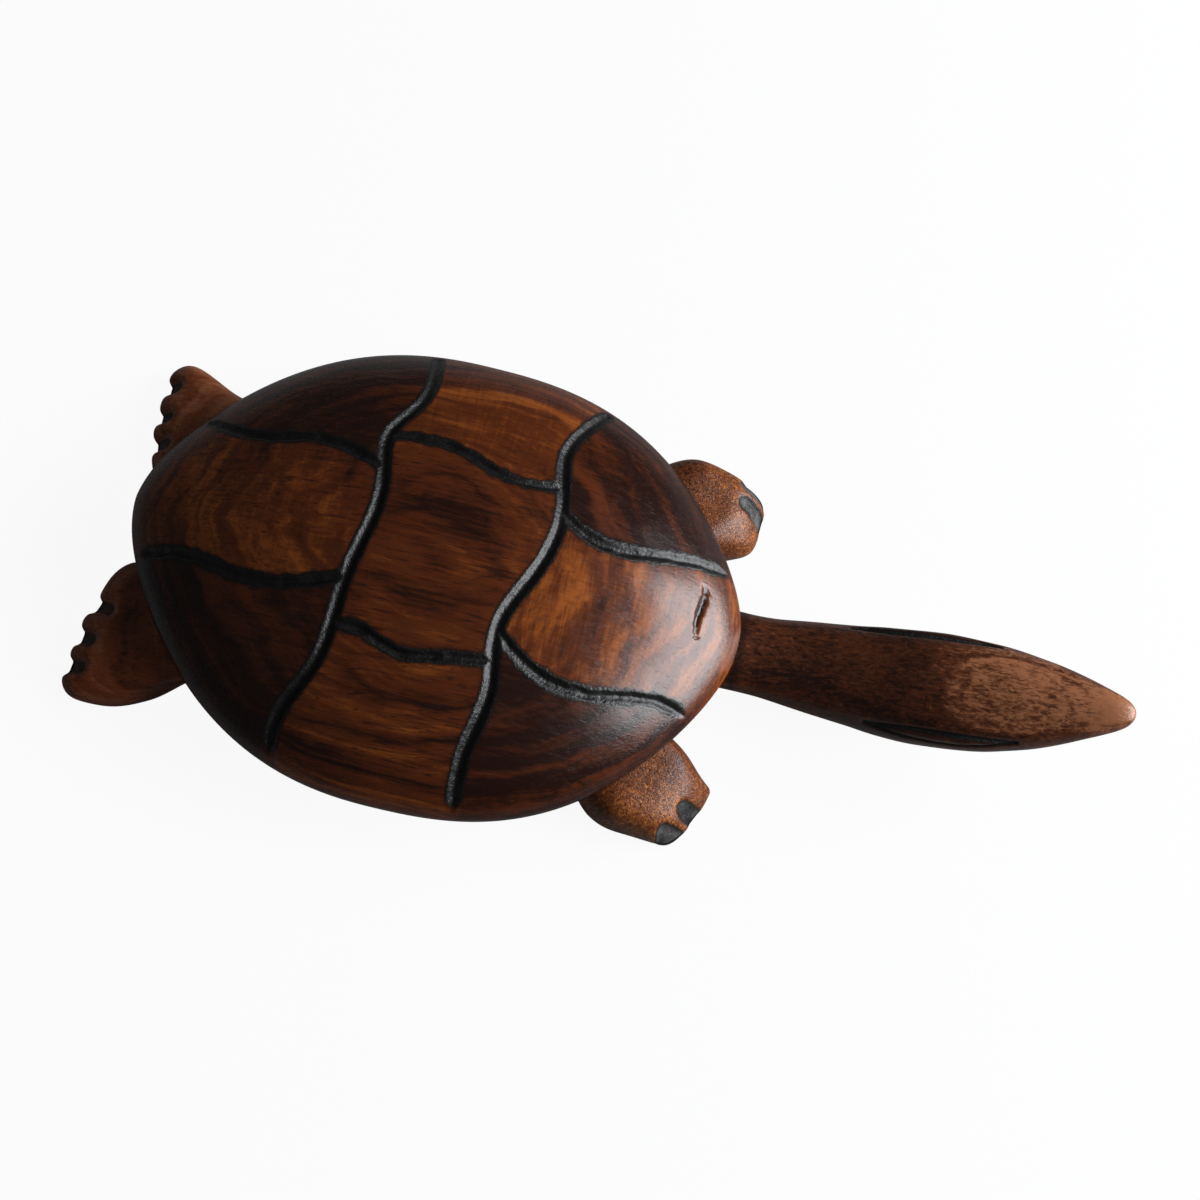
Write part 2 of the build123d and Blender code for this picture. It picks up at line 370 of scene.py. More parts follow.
def build_burnt_cuts():
    """Char: black at its edge, with patches of grey ash further in and a fine crust; the ash, lighter
    towards the middle of the cut, is partly a painted highlight of the lit wall. Its edge is broken by
    noise, and a brown singe lies outside it. The wood's colour comes in and leaves charred."""
    sockets = {"Place": None, "Wood": bare_brown, "Burn": 0.0, "Black": char_black, "Ash and Painted Light": ash_grey_and_painted_highlight}
    tree, given, out = new_group("burnt_cuts", sockets, {"Colour": bare_brown, "Char": 0.0, "Crust": 0.0})
    noise = {name: cloud(tree, given["Place"], *kind) for name, kind in char_noises.items()}
    ragged = calc(tree, "SUBTRACT", noise["ragged"], 0.5)
    burn = calc(tree, "MULTIPLY_ADD", ragged, raggedness, given["Burn"])
    char = ramp(tree, burn, *char_edge)
    singe = calc(tree, "MULTIPLY", ramp(tree, burn, *singe_edge), singe_strength)
    inside = ramp(tree, given["Burn"], *ash_inside)
    ash = calc(tree, "MULTIPLY", ramp(tree, noise["ash"], *ash_patch_edge), inside)
    # Black and ash of the cut: on the legs their colours are partly painted light, a sheen on the front
    # scoops and fill in the rear ones.
    soot_and_painted_light = blend_colours(tree, ash, given["Black"], given["Ash and Painted Light"])
    toned = blend_colours(tree, singe, given["Wood"], singe_brown)
    tree.links.new(blend_colours(tree, char, toned, soot_and_painted_light), out["Colour"])
    tree.links.new(char, out["Char"])
    tree.links.new(noise["crust"], out["Crust"])
    return tree


burnt_cuts = build_burnt_cuts()
print("group burnt_cuts:", len(burnt_cuts.nodes), "nodes")

# %% One stained and waxed wood
plain_mix = {"Layers": 1.5, "Fibres": 0.65, "Flecks": 0.4, "Curl": 1.0, "Clouds": 0.55}
calm_when_dark = 1.3
quiet_in_ripples = 0.8
dark_to_middle = (0.1, 0.55)
middle_to_light = (0.5, 1.05)
pore_brown = linear(22, 11, 8)
pore_strength = 0.75
pore_depth = 0.2
crust_relief = 0.17
fleck_dullness, pore_dullness, char_dullness = 0.2, 0.1, 0.15
wax_index = 1.5


def stained_wood(
    name, stains, turn=(0, 0, 0), figure=None, mix=None, soot_and_painted_light=None,
    streaked=0.0, wax=0.25, shine=0.5, relief=0.05,
):
    """A waxed hardwood. The figure's parts, each by its own weight, add up to one value that runs from the
    dark stain through the middle one to the light one. The painted tone shifts it, and calms it where dark,
    the painted ripple lets the curl show in place of the fibres, and the painted burn chars it. Wax is the
    mean roughness, and relief the height of the fibres in millimetres."""
    material, tree = new_material(name)
    dark, middle, light = (linear(*stain) for stain in stains)
    spot = lay(tree, "TexCoord").outputs["Object"]
    turned = lay(tree, "Mapping", {"Vector": spot, "Rotation": turn, "Scale": (1 / MM,) * 3})
    place = turned.outputs[0]
    grain = lay(tree, "Group", {"Place": place} | (figure or {}), node_tree=wood_figure).outputs
    tone, burn, ripple = (
        lay(tree, "Attribute", attribute_name=painted).outputs["Fac"]
        for painted in ("tone", "burn", "ripple")
    )
    along_grain = calc(tree, "MULTIPLY_ADD", ripple, -quiet_in_ripples, 1.0)
    shown = {"Curl": ripple, "Fibres": along_grain, "Flecks": along_grain}
    swing = 0.0
    for label, weight in (plain_mix | (mix or {})).items():
        part = calc(tree, "SUBTRACT", grain[label], 0.5)
        part = calc(tree, "MULTIPLY", part, shown.get(label, 1.0))
        swing = calc(tree, "MULTIPLY_ADD", part, weight, swing)
    strength = calc(tree, "MULTIPLY_ADD", calc(tree, "MINIMUM", tone, 0.0), calm_when_dark, 1.0)
    value = calc(tree, "MULTIPLY_ADD", swing, strength, calc(tree, "ADD", tone, 0.5))
    stain = blend_colours(tree, ramp(tree, value, *dark_to_middle), dark, middle)
    stain = blend_colours(tree, ramp(tree, value, *middle_to_light), stain, light)
    for label, most, colour in (("Streaks", streaked, dark), ("Pores", pore_strength, pore_brown)):
        share = calc(tree, "MULTIPLY", calc(tree, "MULTIPLY", grain[label], most), along_grain)
        stain = blend_colours(tree, share, stain, colour)
    given = {"Place": place, "Wood": stain, "Burn": burn} | (soot_and_painted_light or {})
    cuts = lay(tree, "Group", given, node_tree=burnt_cuts).outputs
    rough = calc(tree, "MULTIPLY_ADD", grain["Flecks"], fleck_dullness, wax - fleck_dullness / 2)
    rough = calc(tree, "MULTIPLY_ADD", grain["Pores"], pore_dullness, rough)
    rough = calc(tree, "MULTIPLY_ADD", cuts["Char"], char_dullness, rough)
    fibres = calc(tree, "MULTIPLY_ADD", grain["Pores"], -pore_depth, grain["Flecks"])
    crust = calc(tree, "MULTIPLY", calc(tree, "SUBTRACT", cuts["Crust"], 0.5), cuts["Char"])
    crust = calc(tree, "MULTIPLY", crust, crust_relief)
    height = calc(tree, "MULTIPLY_ADD", fibres, relief, crust)
    bump = lay(tree, "Bump", {"Height": height, "Distance": MM, "Strength": 1.0})
    given = {"Base Color": cuts["Colour"], "Roughness": rough, "Normal": bump.outputs[0], "IOR": wax_index}
    shader = lay(tree, "BsdfPrincipled", given | {"Specular IOR Level": shine})
    lay(tree, "OutputMaterial", {"Surface": shader.outputs[0]})
    print("finish", name)
    return material


shell_wood = stained_wood(
    "shell_wood",
    [(34, 12, 5), (88, 39, 14), (152, 80, 29)],
    figure={"Layer Size": 1.5, "Sway": 6.0, "Fleck Size": 0.7, "Fleck Length": 5.0},
    mix={"Layers": 1.9},
    streaked=0.8,
    relief=0.035,
)

# %% [markdown]
# ## The shell: a dome over a pointed oval
# The carapace is a low dome. Seen from above its outline is an oval that narrows to a soft point at both
# ends. It could be sculpted by hand, but a formula keeps it exactly on its solid: the outline carried in to
# the middle, rising by a power of its distance from the rim.

# %% The dome's formula
front_roundness = 2.54
rear_roundness = 2.35
tip_sharpness = 0.73
tip_blunting = 0.1
tip_shortness = 12
dome_fullness = 0.69


def shell_outline(samples=2400):
    """The rim in half lengths and half widths: x = cos a, y = (1 - |cos a|^m)^n with the sign of sin a,
    where m is the front's or the rear's roundness and n the sharpness of the tips, less where blunted."""
    turn = np.linspace(-math.pi, math.pi, samples, endpoint=False)
    x = np.cos(turn)
    roundness = np.where(x > 0, front_roundness, rear_roundness)
    sharpness = tip_sharpness - tip_blunting * np.abs(x) ** tip_shortness
    y = np.sign(np.sin(turn)) * (1 - np.abs(x) ** roundness) ** sharpness
    return np.stack([x, y], -1)


def reach_along(angle, outline):
    """How far an outline lies from the origin along each angle."""
    bearing = np.arctan2(outline[:, 1], outline[:, 0])
    return np.interp(angle, bearing, np.hypot(*outline.T), period=2 * math.pi)


rim_outline = shell_outline()


def dome_point(share, angle):
    """The dome at a share of the way from crown to rim: the plan runs from a plain ellipse at the crown to
    the pointed oval at the rim, and the height is the rim's plus dome height (1 - share^2)^fullness."""
    pointed = share**2 * (3 - 2 * share)
    reach = share * (1 + pointed * (reach_along(angle, rim_outline) - 1))
    height = rim_height + dome_height * np.maximum(1 - share**2, 0) ** dome_fullness
    return np.stack([half_length * reach * np.cos(angle), half_width * reach * np.sin(angle), height], -1)


def dome_share(x, y, rounds=12):
    """The share and angle of a plan point, by repeated division by the reach at the last guess."""
    x, y = x / half_length, y / half_width
    angle, distance = np.arctan2(y, x), np.hypot(x, y)
    share = distance
    for _ in range(rounds):
        held = np.clip(share, 0, 1)
        share = distance / (1 + held**2 * (3 - 2 * held) * (reach_along(angle, rim_outline) - 1))
    return share, angle


def unit(vectors):
    """Vectors divided by their own length."""
    return vectors / np.maximum(np.linalg.norm(vectors, axis=-1, keepdims=True), 1e-12)


def dome_normal(share, angle, step=1e-3, near_crown=0.01):
    """Across the dome's two directions of travel, taken as differences over a small step."""
    inner, outer = np.clip(share - step, 0, 1), np.clip(share + step, 0, 1)
    outward = dome_point(outer, angle) - dome_point(inner, angle)
    ring = np.maximum(share, near_crown)
    around = dome_point(ring, angle + step) - dome_point(ring, angle - step)
    return unit(np.cross(outward, around))


# %% [markdown]
# ## The gouged lines
# Eight wavering lines divide the shell into nine plates: two across, and three pairs along. They were pushed
# with a small round gouge and then burnt. A few points set each line, in shares of the half length and half
# width. A cut is shallow and round, and its lips are rubbed over, so that one wall catches the window and
# the other stays black. The lines along the grain have splintered edges, and all run out, narrower and
# shallower, just short of the rim.

# %% Routes of the gouge
gouge_widths = {
    "rear_cross": 2.6, "front_cross": 2.7, "rear_left": 2.2, "rear_right": 2.2,
    "middle_left": 2.0, "middle_right": 2.0, "front_left": 2.6, "front_right": 2.3,
}
gouge_routes = {
    "rear_cross": [
        (-0.185, 0.97), (-0.18, 0.89), (-0.17, 0.74), (-0.19, 0.59), (-0.25, 0.42), (-0.23, 0.23),
        (-0.22, 0.05), (-0.25, -0.20), (-0.26, -0.44), (-0.28, -0.59), (-0.35, -0.78), (-0.35, -0.99),
    ],
    "front_cross": [
        (0.44, 0.93), (0.41, 0.85), (0.34, 0.67), (0.31, 0.53), (0.33, 0.34), (0.34, 0.18),
        (0.29, -0.08), (0.23, -0.30), (0.25, -0.54), (0.22, -0.77), (0.23, -1.0),
    ],
    "rear_left": [
        (-0.93, 0.41), (-0.83, 0.37), (-0.72, 0.32), (-0.59, 0.31), (-0.45, 0.33), (-0.25, 0.26),
    ],
    "rear_right": [
        (-1.0, -0.28), (-0.91, -0.26), (-0.77, -0.25), (-0.57, -0.31), (-0.40, -0.30), (-0.26, -0.25),
    ],
    "middle_left": [(-0.24, 0.41), (-0.02, 0.41), (0.08, 0.36), (0.19, 0.33), (0.32, 0.36)],
    "middle_right": [(-0.26, -0.42), (-0.14, -0.44), (-0.05, -0.48), (0.09, -0.46), (0.24, -0.43)],
    "front_left": [(0.34, 0.25), (0.43, 0.18), (0.54, 0.16), (0.71, 0.21), (0.99, 0.28)],
    "front_right": [
        (0.23, -0.31), (0.33, -0.40), (0.46, -0.45), (0.60, -0.43), (0.75, -0.38), (0.93, -0.40),
    ],
}


def line_on_dome(plan, samples=360):
    """A plan line in millimetres, lifted onto the dome."""
    line = smooth_line(plan, samples)
    share, angle = dome_share(line[:, 0], line[:, 1])
    height = dome_point(np.clip(share, 0, 1), angle)[:, 2]
    return np.column_stack([line, height])


gouge_lines = {
    name: line_on_dome(np.array(route) * (half_length, half_width)) for name, route in gouge_routes.items()
}
print("gouged lines:", ", ".join(gouge_lines))

# %% Depth of the cuts
gouge_steepness = 0.46
gouge_drift, drift_spacing, drift_seed = 0.12, 0.09, 40
cross_splinters, grain_splinters = 0.07, 0.24
splinter_spacing, splinter_seed = 1.3, 60
gouge_burn = (0.4, 1.6)
runs_out = (0.94, 0.992)
run_out_width = 0.4
split_route = [(48.4, 6.9), (48.4, 2.6), (47.9, -0.3), (48.4, -4.6)]
split_width = 0.6
split_stops, split_widths = [0, 0.12, 0.35, 0.7, 1], [0.15, 0.75, 1, 0.55, 0.1]
split_waves = [(5, 0.4, 0.8)]


def trough(away):
    """1 on a line and 0 one half width away from it: (1 - away^2)^2, level at the bottom and at the lips."""
    return np.maximum(1 - away**2, 0) ** 2


def gouge_marks(points, out_from_crown):
    """The deepest cut and the strongest burn of all lines at each point, from the distance in half widths.
    A cut is as deep as its half width times its steepness. Both drift along a line, shrink where it runs out
    at the rim, and fine noise roughens its edges."""
    depth = np.zeros(points.shape[:-1])
    burn = np.zeros(points.shape[:-1])
    left = 1 - ease_between(*runs_out, out_from_crown)
    for number, (name, line) in enumerate(gouge_lines.items()):
        distance, share = nearest(points, line)
        splinters = cross_splinters if name.endswith("cross") else grain_splinters
        along = np.stack(np.broadcast_arrays(share, 0.5, 0.5), -1)
        drift = gouge_drift * wander(drift_seed + number, drift_spacing, along)
        rough = splinters * wander(splinter_seed + number, splinter_spacing, points)
        half = gouge_widths[name] / 2 * (1 + drift + rough) * (run_out_width + (1 - run_out_width) * left)
        away = distance / half
        depth = np.maximum(depth, half * gouge_steepness * (1 + 2 * drift) * trough(away))
        burn = np.maximum(burn, 1 - ease_between(gouge_burn[0], gouge_burn[1] + 2 * splinters, away))
    return depth * left, burn * left


def split_marks(points):
    """A drying split in the front plate: a ragged cut, widest at a third of its length, shut at its ends."""
    distance, share = nearest(points, line_on_dome(split_route))
    width = split_width * np.interp(share, split_stops, split_widths)
    width = width * (1 + waves(split_waves, points))
    return 1 / (1 + (distance / width) ** 4)


# %% The nine plates
plate_tones = np.array([[-0.33, 0.06, -0.24], [0.06, 0.0, 0.10], [-0.28, 0.13, -0.30]])
plate_ripples = np.array([[0.1, 0.3, 0.1], [0.1, 0.1, 0.4], [0.1, 0.75, 0.1]])
plate_blend = 1.5
growth_bands = [
    [(22.8, 7.6), (29.5, -3.7), (30.8, -13.0), (33.0, -18.8)],
    [(31.4, 5.0), (34.6, -2.5), (35.9, -10.8), (35.6, -18.0)],
]
band_width = 1.1
band_waves = [(6, 0.6, 1.6)]


def plate_at(x, y):
    """The row and column of the plate that a plan point lies in. Rows run from rear to front and columns
    from right to left, told apart by which side of the gouged lines the point is on."""

    def crossing(name, along, axis):
        line = gouge_lines[name][:, :2]
        order = np.argsort(line[:, axis])
        return np.interp(along, line[order, axis], line[order, 1 - axis])

    row = (x > crossing("rear_cross", y, 1)).astype(int) + (x > crossing("front_cross", y, 1))
    sides = [
        (y > crossing(f"{part}_right", x, 0)).astype(int) + (y > crossing(f"{part}_left", x, 0))
        for part in ("rear", "middle", "front")
    ]
    return row, np.choose(row, sides)


def plate_paint(values, points, around=16):
    """The plates' values, each point taking the mean over a small ring round it, so that two plates run into
    each other where no cut parts them."""
    x, y, _ = np.moveaxis(points, -1, 0)
    ring = plate_blend * np.exp(1j * np.linspace(0, 2 * math.pi, around, endpoint=False))
    return np.mean([values[plate_at(x + step.real, y + step.imag)] for step in ring], axis=0)


def band_marks(points):
    """Dark growth bands across the front plate: a bell over the distance from each, uneven by noise."""
    dark = np.zeros(points.shape[:-1])
    drift = waves(band_waves, points)
    for stops in growth_bands:
        distance, _ = nearest(points, line_on_dome(stops))
        dark = np.maximum(dark, bell((distance + drift) / band_width))
    return dark


# %% A grid drawn in to the cuts
shell_cells = 300
raster_step = 0.5
raster_margin = 2
line_pull, line_pull_reach = 5, 1.8
rim_pull, rim_pull_reach = 4, 2


def draw_in(share, angle, rounds=110):
    """Crowds the grid where detail is: every inner point moves to the mean of its four neighbours, weighted
    by one, a bell over their distance from the gouged lines and another over that from the rim."""
    side = np.array([half_length, half_width]) + raster_margin
    columns, rows = (np.arange(-reach, reach, raster_step) for reach in side)
    raster = np.stack(np.meshgrid(columns, rows, indexing="ij"), -1)
    lines = np.concatenate(list(gouge_lines.values())) * (1, 1, 0)
    distance, _ = nearest(np.concatenate([raster, np.zeros_like(raster[..., :1])], -1), lines)
    from_rim = (1 - dome_share(raster[..., 0], raster[..., 1])[0]) * half_width
    pull = 1 + line_pull * bell(distance / line_pull_reach) + rim_pull * bell(from_rim / rim_pull_reach)
    plan = dome_point(share, angle)[..., :2]
    for _ in range(rounds):
        cell = np.round((plan + side) / raster_step).astype(int)
        weight = pull[cell[..., 0], cell[..., 1]][..., None]
        moved, total = (
            held[:-2, 1:-1] + held[2:, 1:-1] + held[1:-1, :-2] + held[1:-1, 2:]
            for held in (plan * weight, weight)
        )
        plan[1:-1, 1:-1] = moved / total
    inner = (slice(1, -1), slice(1, -1))
    share, angle = share.copy(), angle.copy()
    share[inner], angle[inner] = dome_share(*np.moveaxis(plan[inner], -1, 0))
    return share, angle


# %% The carapace
shell_waves = [(1, 0.22, 13), (2, 0.07, 5)]
shell_planed = 0.3
shell_stain = [(3, 0.1, 22)]
# The split: its depth, then the painted shade and the char painted inside it.
split_depth, split_painted_shade, split_shade_burn = 0.6, 0.8, 0.25
split_core = (0.3, 0.8)
band_darkness = 0.2
rim_round = 0.35
rim_lean = (-0.3, 0.8)
rim_trim = 0.35
underside_share = 0.86
# How much darker the rim's turn and the flat underside are painted: painted shade under the shell.
underside_painted_shade = (0.1, 0.2)


def lean_over(points):
    """The hand-cut oval is a little bent: it shifts sideways by one amount at its middle and another at its
    ends, in between by the square of the way along, and is narrowed so that it keeps to its solid's box."""
    along = np.clip(points[:, 0] / half_length, -1, 1) ** 2
    shift = rim_lean[0] + (rim_lean[1] - rim_lean[0]) * along
    narrowed = points[:, 1] * (1 - rim_trim / half_width)
    return np.column_stack([points[:, 0], narrowed + shift, points[:, 2]])


def carve_carapace():
    """The dome on a pressed square grid, uneven by hand, cut along its normals. Below it the rim drops
    straight, turns under with a small round and closes with a flat underside."""
    share, angle = draw_in(*disc_grid(shell_cells))
    smooth = dome_point(share, angle)
    depth, burn = gouge_marks(smooth, share)
    split = split_marks(smooth)
    uneven = waves(shell_waves, smooth) - shell_planed
    lift = uneven * (1 - share**6) - depth - split_depth * split
    points = smooth + dome_normal(share, angle) * lift[..., None]
    ripple = plate_paint(plate_ripples, smooth)
    tone = plate_paint(plate_tones, smooth) + waves(shell_stain, smooth)
    # The split's inside is painted darker and a little charred: painted shade in the narrow crack.
    tone = tone - split_painted_shade * split - band_darkness * band_marks(points)
    burn = np.maximum(burn, split_shade_burn * ease_between(*split_core, split))
    index = np.arange(points[..., 0].size).reshape(share.shape)
    loop = edge_loop(index)
    rim = points.reshape(-1, 3)[loop]
    inward = unit(rim[:, :2]) * rim_round
    rings = [
        np.column_stack([plan, np.full(len(rim), height)])
        for plan, height in (
            (rim[:, :2], underside + rim_round),
            (rim[:, :2] - inward, underside),
            (rim[:, :2] * underside_share, underside),
        )
    ]
    numbers = [loop] + [index.size + k * len(loop) + np.arange(len(loop)) for k in range(len(rings))]
    faces = list(grid_faces(index))
    for upper, lower in zip(numbers[:-1], numbers[1:]):
        faces += list(np.stack([upper, lower, np.roll(lower, -1), np.roll(upper, -1)], -1))
    faces.append(numbers[-1][::-1])
    rim_burn, rim_tone, rim_ripple = (painted.ravel()[loop] for painted in (burn, tone, ripple))
    # The rim's turn and the flat underside are painted darker step by step: painted shade under the shell.
    painted_shade_tones = [rim_tone - shade for shade in underside_painted_shade]
    paint = {
        "ripple": np.concatenate([ripple.ravel(), rim_ripple, rim_ripple, rim_ripple]),
        "burn": np.concatenate([burn.ravel(), rim_burn, rim_burn, rim_burn * 0]),
        "tone": np.concatenate([tone.ravel(), rim_tone, *painted_shade_tones]),
    }
    everything = lean_over(np.concatenate([points.reshape(-1, 3), *rings]))
    make_piece("carved_carapace", "carapace", shell_wood, everything, faces, paint)


carve_carapace()

# %% [markdown]
# ## Head and neck
# Neck and head are one long tapered piece that rises out of the shell. Its outline swells from the neck to
# the brow and closes in a blunt snout. Ovals carried along a rising line give that form. Each eye is a long
# almond: two burnt knife cuts that meet at both ends, with the wood between them left proud.

# %% The head's line and sections
_, head_high = (np.array(corner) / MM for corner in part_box("head_and_neck"))
belly_low, belly_high = (np.array(corner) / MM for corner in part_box("belly"))
neck_seat = belly_high[0] - shell_origin[0]
snout_tip = head_high[0] - shell_origin[0]
neck_reach = snout_tip - half_length
neck_height = 9.0
head_rise = 16.0
head_sections = [
    ((neck_seat - half_length) / neck_reach, 15.4, 9.8), (-0.06, 15.7, 9.8), (0.0, 15.8, 9.8),
    (0.14, 17.2, 11.2), (0.30, 20.0, 14.0), (0.45, 22.3, 16.1), (0.56, 22.6, 16.4), (0.70, 20.2, 14.4),
    (0.83, 15.2, 11.0), (0.93, 9.4, 7.4), (0.98, 5.4, 4.4), (1.0, 0.0, 0.0),
]
head_lean = [(0.0, 0.5), (0.5, 0.65), (0.85, 0.3), (1.0, 0.0)]
head_rings = 300
head_spokes = 200


def head_profile(samples=4001):
    """Places, widths and heights along the head, from one smooth line through its sections. The line is
    carried past the snout to mirrored sections, so that it meets the middle squarely in a round tip."""
    stops = np.array(head_sections) * (neck_reach, 1, 1)
    mirrored = stops[-2::-1] * (1, -1, -1)
    line = smooth_line(np.concatenate([stops, mirrored[:3]]), samples)
    tip = np.argmax(line[:, 0])
    line = line[: tip + 1]
    length = np.concatenate([[0], np.cumsum(np.linalg.norm(np.diff(line, axis=0), axis=1))])
    even = np.linspace(0, length[-1], head_rings)
    place, width, height = (np.interp(even, length, column) for column in line.T)
    width[-1] = height[-1] = 0
    return place, np.maximum(width, 0), np.maximum(height, 0)


# %% The eyes
eye_length = 26.0
eye_width = 2.8
eye_places = {1: (0.47, 56), -1: (0.54, 70)}
eye_ends = 1.06
lid_depth, lid_reach = 0.5, 0.4
lid_burn, lid_burn_reach = (0.4, 1.6), 0.5
ball_height, ball_scorch = 0.4, 0.3
least_lid = 0.2
far_away = 9


def eye_marks(along, around, side):
    """One eye in millimetres along and around the head: the lids are two lines at half the width times one
    minus the squared share of the half length, and the ball swells between them."""
    a = along / (eye_length / 2)
    lid = eye_width / 2 * np.maximum(1 - a**2, 0)
    b = around * side
    gap = np.where(np.abs(a) < eye_ends, np.abs(np.abs(b) - lid), far_away)
    cut = lid_depth / (1 + (gap / lid_reach) ** 4)
    swell = np.clip(1 - (b / np.maximum(lid, least_lid)) ** 2, 0, 1) * np.clip(1 - a**2, 0, 1)
    burn = 1 - ease_between(*lid_burn, gap / lid_burn_reach)
    return cut - ball_height * swell, np.maximum(burn, ball_scorch * (np.abs(b) < lid))


# %% The head's finish
pale_edge = (0.45, 1.25)
pale_oval = {"middle": 0.79, "reach": 0.28, "turn": -0.15, "spread": 1.2}
ringed_oval = {"middle": 0.71, "reach": 0.19, "turn": -0.2, "spread": 0.85}
oval_rings = [(1.0, 1.0, 0.08), (0.7, 0.72, 0.06), (0.6, 0.46, 0.05)]
oval_waves = [(14, 0.14, 4.5)]
head_waves = [(11, 0.2, 9), (12, 0.06, 4)]
head_stain = [(13, 0.16, 8)]
head_planed, thin_snout = 0.2, 3
head_tone = -0.07
# The snout's weight lightens it as a painted sheen.
head_marks = {"pale": 0.44, "rings": -0.2, "snout": 0.2, "seam": -0.35, "nape": -0.16}
nape_place, nape_width = 0.4, 0.12
seam_width = 1.1
snout_start = (0.84, 0.98)
neck_ripple, snout_ripple = 0.15, 0.85
head_wood = stained_wood(
    "head_wood",
    [(36, 14, 7), (88, 43, 20), (168, 108, 72)],
    turn=(0, math.radians(9.5), 0),
    figure={"Layer Size": 1.1, "Sway": 3.0, "Fleck Size": 0.6, "Fleck Length": 1.4},
    mix={"Layers": 1.1, "Fibres": 0.5, "Flecks": 1.6},
    wax=0.32,
    relief=0.08,
)


def oval_span(way, turn, oval):
    """How far out a point lies from an oval's middle, in shares of its reach and spread: 1 on its edge."""
    return np.hypot((way - oval["middle"]) / oval["reach"], (turn - oval["turn"]) / oval["spread"])


# %% The head and neck piece
def head_tones(along, turn, points):
    """The stain along the head, and its ripple: a pale oval on the brow with dark rings, a snout lightened
    as a painted sheen, a dark nape and a dark seam at the shell, each by its own weight."""
    way = along / neck_reach
    wobble = waves(oval_waves, points)
    span = oval_span(way, turn, ringed_oval) + wobble
    rings = sum(weight * bell((span - place) / width) for weight, place, width in oval_rings)
    snout = ease_between(*snout_start, way)
    marks = {
        "pale": 1 - ease_between(*pale_edge, oval_span(way, turn, pale_oval) + wobble),
        "rings": rings * (1 - snout),
        "snout": snout,
        "seam": bell(along / seam_width),
        "nape": bell((way - nape_place) / nape_width),
    }
    tone = head_tone + sum(head_marks[name] * mark for name, mark in marks.items())
    return tone + waves(head_stain, points), neck_ripple + snout_ripple * snout


def carve_head():
    """Ovals x, y = width/2 sin, z = middle + height/2 cos, the middle rising with the square of the way."""
    place, width, height = head_profile()
    turn = np.linspace(0, 2 * math.pi, head_spokes, endpoint=False)
    along, angle = np.meshgrid(place, turn, indexing="ij")
    rise = neck_height + head_rise * np.clip(along / neck_reach, 0, 1) ** 2
    lean = np.interp(along / neck_reach, *zip(*head_lean))
    width, height = width[:, None], height[:, None]
    y = lean + width / 2 * np.sin(angle)
    z = rise + height / 2 * np.cos(angle)
    smooth = np.stack([half_length + along, y, z], -1)
    outward = unit(np.stack([np.zeros_like(y), np.sin(angle) * height, np.cos(angle) * width], -1))
    radius = (width + height) / 4
    wrapped = (angle + math.pi) % (2 * math.pi) - math.pi
    cut, burn = np.zeros_like(y), np.zeros_like(y)
    for side, (middle, degrees) in eye_places.items():
        across = (wrapped - side * math.radians(degrees)) * radius
        eye_cut, eye_burn = eye_marks(along - middle * neck_reach, across, side)
        cut, burn = cut + eye_cut, np.maximum(burn, eye_burn)
    thick = ease_between(0, thin_snout, radius)
    uneven = waves(head_waves, smooth) - head_planed
    points = smooth + outward * ((uneven - cut) * thick)[..., None]
    tone, ripple = head_tones(along, wrapped, smooth)
    index = np.arange(y.size).reshape(y.shape)
    ring = np.column_stack([index, index[:, :1]])
    ring[-1] = ring[-1, 0]
    quads = grid_faces(ring[:, ::-1])
    faces = list(quads[:-head_spokes]) + list(quads[-head_spokes:, :3]) + [index[0]]
    paint = {"burn": burn, "tone": tone, "ripple": ripple}
    make_piece("carved_head", "head_and_neck", head_wood, points.reshape(-1, 3), faces, paint)


carve_head()

# %% [markdown]
# ## Legs
# The legs are flat paddles that slope down from under the shell. The front ones end in three blunt toes and
# the rear ones in four, told apart by burnt scoops in the top edge. Each is a pillow: a grid pressed onto
# the paddle's outline from above, with a rounded edge and a sloping top, closed by a flat sole. A knife took
# one more facet off each front foot, towards the neck.

# %% Outlines of the paddles
paddles = {
    "front_left_leg": [
        (58.5, 27.5), (58.9, 31.6), (58.4, 35.4), (54.6, 38.1), (48.6, 39.4), (43.0, 39.8), (38.0, 37.6),
        (32.5, 31.0), (33.0, 21.0), (40.5, 16.6), (48.0, 18.6), (54.0, 21.8), (57.6, 24.4),
    ],
    "front_right_leg": [
        (58.3, -26.2), (57.6, -28.6), (56.0, -32.2), (54.2, -35.6), (52.4, -37.2), (49.0, -37.6),
        (44.5, -37.4), (39.8, -36.9), (35.0, -34.2), (31.0, -28.5), (33.0, -21.0), (40.5, -15.6),
        (48.6, -18.0), (53.6, -21.4), (57.2, -24.2), (58.4, -25.2),
    ],
    "rear_left_leg": [
        (-59.2, 12.0), (-60.8, 17.0), (-61.7, 22.6), (-61.9, 28.5), (-61.6, 32.6), (-59.3, 34.8),
        (-55.0, 34.0), (-50.0, 31.2), (-44.0, 28.4), (-36.0, 25.0), (-35.0, 17.0), (-41.0, 12.0),
        (-50.0, 9.4), (-57.0, 9.0),
    ],
    "rear_right_leg": [
        (-58.8, -10.8), (-60.4, -16.2), (-61.7, -21.6), (-61.9, -28.0), (-61.7, -33.2), (-60.0, -35.4),
        (-56.0, -36.3), (-51.0, -35.9), (-46.0, -33.8), (-40.0, -30.0), (-34.0, -24.0), (-35.0, -16.0),
        (-42.0, -10.5), (-50.0, -8.4), (-56.5, -8.4),
    ],
}
